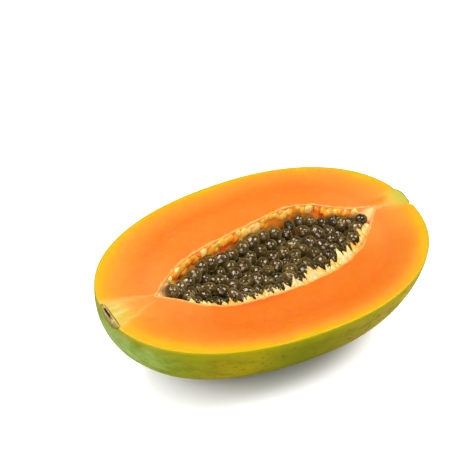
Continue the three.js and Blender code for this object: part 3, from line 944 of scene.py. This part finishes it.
# Stalks clear of the seeds, then long ones among them, then two rows that lean over them. In each:
# random seed, count, first station, depths, lengths, radii, lift and how far it keeps off the seeds.
STALK_BATCHES = (
    (4242, 84, -46, (0.8, 2.6), (2, 4), (1, 1.8), (0.1, 0.6), 1),
    (88, 40, -46, (1.2, 2.6), (3.8, 6.2), (1.5, 2.3), (0.3, 0.9), 0.3),
    (61, 20, 4, (1.8, 3.0), (3.6, 6.0), (1.6, 2.4), (0.15, 0.4), 0),
    (12, 9, -40, (1.6, 2.6), (3.4, 5.2), (1.3, 2.0), (0.15, 0.4), 0),
)


def wall_point(x, side, down):
    middle, half, depth = cavity_at(x)
    return Vector((x, middle + side * half * math.sqrt(1 - (down / depth) ** 2), -down))


def blocked(foot, tip, radius):
    """Whether a rod of pulp would come too near a seed."""
    rod = tip - foot
    for p, seed_radius, _, _ in seeds:
        place_on_rod = (Vector(p) - foot).dot(rod) / max(rod.dot(rod), 1e-9)
        near = foot + min(max(place_on_rod, 0), 1) * rod
        if (near - Vector(p)).length < seed_radius * SEED_LENGTHENING + radius + PULP_GAP:
            return True
    return False


def grown_stalks(seed, count, start, depths, lengths, radii, lift, crowding):
    """Tapered stalks on the near wall, leaning in and up between the seeds."""
    draw = drawer(seed)
    grown = []
    for i in range(count):
        x = start + (PULP_STATIONS[1] - start) * (i + draw()) / count
        radius = part_way(radii, draw())
        foot = wall_point(x, -1, max(part_way(depths, draw()), radius * crowding + KNIFE_GAP))
        lean = Vector((STALK_SLANT * (draw() - 0.5), 1, part_way(lift, draw()))).normalized()
        wanted = part_way(lengths, draw()) * between(STALK_GROWTH, x)
        length = min(wanted, (-KNIFE_GAP - STALK_TOP_GAP * radius - foot.z) / lean.z)
        if length < SHORTEST_STALK * crowding:
            continue
        tip = foot + length * lean
        if crowding > 0 and blocked(foot, tip, STALK_CLEARANCE * radius * crowding):
            continue
        grown.append((foot - STALK_ROOT * lean, lean, radius, length + STALK_ROOT, draw()))
    return grown


def below_cut_plane(centre, height):
    """The centre, lowered where what stands on it would come through the cut face."""
    return Vector((centre.x, centre.y, min(centre.z, -height - KNIFE_GAP)))


def tooth(add, start):
    inputs = {"Vertices": start["Sides"], "Side Segments": start["Bands"]}
    inputs.update({"Radius Top": TOOTH_POINT, "Radius Bottom": 1.0, "Depth": 1.0})
    return add("GeometryNodeMeshCone", inputs).outputs["Mesh"]


tooth_tree = growing_tree(
    "grown_teeth",
    tooth,
    {"Sides": 10, "Bands": 7, "Roughness scale": 420.0, "Roughness height": 0.0014},
)
pulp = Finish("seed_pulp", share=0.68)
pulp_colour = pulp.ramp(
    pulp.plus(pulp.attribute("tone"), pulp.map(pulp.grain(500), 0.3, 0.7, -0.25, 0.25)),
    [(0.0, "FF9C2C"), (0.35, "FFB440"), (0.7, "FAC866"), (1.0, "F4DA96")],
)
pulp.set(
    Base_Color=pulp_colour,
    Roughness=0.28,
    IOR=1.37,
    Subsurface_Weight=0.35,
    Subsurface_Radius=(1.0, 0.6, 0.2),
    Subsurface_Scale=0.002,
    Coat_Weight=0.1,
    Coat_Roughness=0.1,
    Normal=pulp.bump(pulp.grain(900), 0.4, 0.0004),
)
stalks = [stalk for batch in STALK_BATCHES for stalk in grown_stalks(*batch)]
feet, leans, radii, lengths, tones = zip(*stalks)
stalk_piece = grow(
    scatter(
        "pulp_stalks",
        [below_cut_plane(foot, STALK_HEADROOM * r) for foot, r in zip(feet, radii)],
        [
            (
                (TOOTH_BREADTH[0] + TOOTH_BREADTH[1] * tone) * radius,
                radius,
                length * (TOOTH_LENGTH[0] + TOOTH_LENGTH[1] * tone),
            )
            for radius, length, tone in zip(radii, lengths, tones)
        ],
        [lean.to_track_quat("Z", "Y").to_matrix() for lean in leans],
        tones,
    ),
    tooth_tree,
    {"Material": pulp.material},
)
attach(stalk_piece, "root")
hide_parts("papaya_half")

# ---- The pulp lumps ----
# On the far wall the seeds' stalks have swollen into wet yellow lumps, joined at their feet. Each
# is a tall rounded swelling, half sunk in the cavity wall, that leans its own way.
LUMP_WIDTHS = (1.2, 2.1)
LUMP_TALLNESS = 1.65
LUMP_SINK = 0.3  # of its radius, into the wall
LUMP_LEAN = 0.7


def grown_bosses(seed, tries, depths, radii, spacing, crowding, grown):
    """Adds swellings on the far wall, kept off the seeds and off each other as asked."""
    draw = drawer(seed)
    for i in range(tries):
        x = part_way(PULP_STATIONS, (i + draw()) / tries)
        radius = part_way(radii, draw())
        down = max(part_way(depths, draw()), radius + KNIFE_GAP)
        centre = wall_point(x, 1, down)
        close = any((centre - other).length < spacing * (radius + size) for other, size in grown)
        if not close and not blocked(centre, centre, radius * crowding):
            grown.append((centre, radius))


bosses = []
grown_bosses(777, 150, depths=(1.4, 4.5), radii=(1.1, 2.7), spacing=0.9, crowding=1, grown=bosses)
grown_bosses(31, 110, depths=(2.2, 4.4), radii=(1.5, 2.6), spacing=0.72, crowding=0, grown=bosses)
draw = drawer(4)
boss_turns = [Euler([LUMP_LEAN * (draw() - 0.5) for _ in range(3)]).to_matrix() for _ in bosses]
boss_tones = [draw() for _ in bosses]
boss_widths = [part_way(LUMP_WIDTHS, draw()) for _ in bosses]
lump = Finish("swollen_pulp", share=0.9)
lump_colour = lump.ramp(
    lump.plus(lump.attribute("tone"), lump.map(lump.grain(400), 0.3, 0.7, -0.2, 0.2)),
    [(0.0, "FF7E1C"), (0.35, "FF9A28"), (0.75, "FFB238"), (1.0, "FFCC74")],
)
lump.set(
    Base_Color=lump_colour,
    Roughness=0.16,
    IOR=1.38,
    Subsurface_Weight=0.4,
    Subsurface_Radius=(1.0, 0.5, 0.15),
    Subsurface_Scale=0.002,
    Coat_Weight=0.2,
    Coat_Roughness=0.06,
    Normal=lump.bump(lump.grain(700), 0.4, 0.0005),
)
boss_piece = grow(
    scatter(
        "pulp_lumps",
        [
            below_cut_plane(centre + Vector((0, LUMP_SINK * radius, 0)), LUMP_TALLNESS * radius)
            for centre, radius in bosses
        ],
        [
            (radius * width, radius, radius * LUMP_TALLNESS)
            for (_, radius), width in zip(bosses, boss_widths)
        ],
        boss_turns,
        boss_tones,
    ),
    ball_tree,
    {"Bands": 10, "Roughness scale": 240.0, "Roughness height": 0.0018, "Material": lump.material},
)
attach(boss_piece, "root")
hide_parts("papaya_half")

# ---- The stem scar ----
# What the knife left of the round corky scar: a low segment of it, set in its pocket in the skin.
# Its fibres run out from its middle, and it has split along the cut.
SCAR_STEPS = (72, 14)  # along the cut and down to the arc
CORK_RADIUS = SCAR_RADIUS + SCAR_GAP  # it meets the pocket's wall
FACE_SINK = 0.1
THINNEST_CORK = 0.3
FIBRE_HEIGHT = 0.22
RING_HEIGHT = 0.15
SLIT_DEPTH = 1.0
SLIT_PLACE = (0.3, 0.55)  # how far below the cut its middle is, and its width
SLIT_ENDS = ((-2.5, 0.5), (4.4, 5.6))
EDGE_WIDTH = 1.1
EDGE_ROUNDING = 0.5
half_chord = math.sqrt(CORK_RADIUS**2 - SCAR_RISE**2)
rows, columns = SCAR_STEPS[0] + 1, SCAR_STEPS[1] + 1
scar_points = []
for i in range(rows):
    sideways = half_chord * -math.cos(math.pi * i / SCAR_STEPS[0])
    bottom = SCAR_RISE - math.sqrt(max(CORK_RADIUS**2 - sideways**2, 0))
    for k in range(columns):
        scar_points.append((0, SCAR_Y + sideways, bottom * k / SCAR_STEPS[1]))
scar_points = np.array(scar_points)
sideways, height = scar_points[:, 1] - SCAR_Y, scar_points[:, 2]
from_middle = np.hypot(sideways, height - SCAR_RISE)
angle = np.arctan2(sideways, SCAR_RISE - height)
fibre = soft_noise(np.stack([angle * 9, from_middle * 0.5, from_middle * 0], 1), 0.55, 5)
rings = soft_noise(np.stack([angle * 2, from_middle * 1.3, from_middle * 0], 1), 1.0, 6)
slit = np.exp(-(((height + SLIT_PLACE[0]) / SLIT_PLACE[1]) ** 2))
slit *= smooth_step(*SLIT_ENDS[0], sideways) * (1 - smooth_step(*SLIT_ENDS[1], sideways))
edge_round = smooth_step(CORK_RADIUS - EDGE_WIDTH, CORK_RADIUS, from_middle)
front = SCAR_FACE + FACE_SINK + FIBRE_HEIGHT * fibre + RING_HEIGHT * rings
front += SLIT_DEPTH * slit
front += EDGE_ROUNDING * edge_round**2
front = np.minimum(front, SCAR_FACE + SCAR_THICKNESS - THINNEST_CORK)
count = len(scar_points)
scar_corners = np.tile(scar_points, (2, 1))
scar_corners[:count, 0] = front
scar_corners[count:, 0] = SCAR_FACE + SCAR_THICKNESS
scar_quads = []
for i in range(rows - 1):
    for k in range(columns - 1):
        a = i * columns + k
        scar_quads.append((a, a + 1, a + columns + 1, a + columns))
        scar_quads.append((a + count, a + columns + count, a + columns + 1 + count, a + 1 + count))
grid = np.arange(count).reshape(rows, columns)
ring = np.concatenate([grid[:, 0], grid[-1, 1:], grid[-2::-1, -1], grid[0, -2:0:-1]]).tolist()
for a, b in zip(ring, ring[1:] + ring[:1]):
    scar_quads.append((a, b, b + count, a + count))
scar = new_piece("stem_scar_cork", in_row_frame(scar_corners), scar_quads)
store(scar, "painted_slit_shade", np.concatenate([slit, -0.4 * slit]))
store(scar, "depth_in", np.repeat([0, 1], count))
store(scar, "share_down", np.tile(np.arange(columns) / SCAR_STEPS[1], 2 * rows))
face_outwards(scar, join_within=1e-6)

# Straw-coloured cork, paler behind its face, green where it meets the skin, and painted in shade in the
# slit.
cork = Finish("stem_scar_cork")
cork_grain = cork.grain(700, 4, 0.65, where=cork.place((0.4, 1, 1)))
cork.base = cork.ramp(
    cork_grain, [(0.3, "7E5E30"), (0.45, "A48448"), (0.6, "BC9E5C"), (0.75, "D6C084")]
)
down = cork.attribute("share_down")
cork.lay("E6D28A", cork.map(cork.attribute("depth_in"), 0.6, 0.9))
cork.lay("7C6A2C", cork.map(down, 0.5, 0.62))
cork.lay("90A444", cork.map(down, 0.64, 0.85))
# Painted shade: near black in the slit.
cork.lay("281808", cork.map(cork.attribute("painted_slit_shade"), 0.25, 0.6))
cork.set(
    Base_Color=cork.base,
    Roughness=0.75,
    Specular_IOR_Level=0.2,
    Normal=cork.bump(cork_grain, 0.6, 0.0005),
)
scar.data.materials.append(cork.material)
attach(scar, "root")
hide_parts("stem_scar")

# ---- The stage ----
# The fruit rests on a white light table. Its colour and glow are dimmer in an ellipse under the fruit: a
# painted shadow.
# A window lights it from above and two weaker lights from the front, and the sky is dimmer on the far
# side.
FLOOR_REACH = 3  # m
FLOOR_DROP = 0.0002  # m, clear of the fruit's flat spot
PAINTED_SHADOW_SIZE = (0.056, 0.036)  # m, of the painted shadow's ellipse
PAINTED_SHADOW_SHIFT = (-0.03, 0.05)  # in the ellipse's own lengths
floor_corners = FLOOR_REACH * np.array([(-1, -1, 0), (1, -1, 0), (1, 1, 0), (-1, 1, 0)])
floor = new_piece("floor", floor_corners - [0, 0, FLOOR_DROP], [(0, 1, 2, 3)], smooth=False)
paper = Finish("floor_paper", share=1)
ellipse = paper.place((1 / PAINTED_SHADOW_SIZE[0], 1 / PAINTED_SHADOW_SIZE[1], 0), shift=(*PAINTED_SHADOW_SHIFT, 0))
from_painted_shadow = paper.node("ShaderNodeVectorMath", {0: ellipse}, operation="LENGTH").outputs["Value"]
# Painted shadow: darker colour and no glow in the ellipse under the fruit.
paper.set(
    Base_Color=paper.mix(paper.map(from_painted_shadow, 0.5, 1.1), "C8C7BD", "D7D7D7"),
    Roughness=0.8,
    Emission_Color=(1, 1, 1, 1),
    Emission_Strength=paper.map(from_painted_shadow, 0.52, 1.32, 0, 0.75),
)
floor.data.materials.append(paper.material)

FAR_SIDE = (0.45, 0.75, 0.5)  # where the sky is dimmer
SKY_STRENGTH = (0.28, 0.1)
LIGHT_DISTANCE = 1.5  # m, from the fruit
world = bpy.data.worlds.new("daylight")
scene.world = world
world.use_nodes = True
sky = world.node_tree
background = sky.nodes["Background"]
background.inputs["Color"].default_value = (0.97, 0.985, 1, 1)
direction = add_node(sky, "ShaderNodeTexCoord").outputs["Generated"]
far_side = add_node(sky, "ShaderNodeVectorMath", {0: direction, 1: FAR_SIDE}, operation="DOT_PRODUCT")
strength = {"From Min": 0.5, "From Max": 0.85, "To Min": SKY_STRENGTH[0], "To Max": SKY_STRENGTH[1]}
strength["Value"] = far_side.outputs["Value"]
strength = add_node(sky, "ShaderNodeMapRange", strength)
feed(sky, background.inputs["Strength"], strength.outputs["Result"])


def add_light(name, direction, width, power):
    data = bpy.data.lights.new(name, "AREA")
    data.size = width
    data.energy = power
    light = in_scene(name, data)
    direction = Vector(direction).normalized()
    light.location = direction * LIGHT_DISTANCE + Vector((0, 0, REST_HEIGHT * MM))
    light.rotation_mode = "QUATERNION"
    light.rotation_quaternion = direction.to_track_quat("Z", "Y")


add_light("window", (-0.32, 0.14, 0.94), width=0.75, power=26)
add_light("second", (0.6, -0.35, 0.75), width=0.5, power=12)
add_light("front", (-0.4, -0.9, 0.5), width=0.9, power=16)
scene.view_settings.view_transform = "Standard"
scene.view_settings.look = "None"
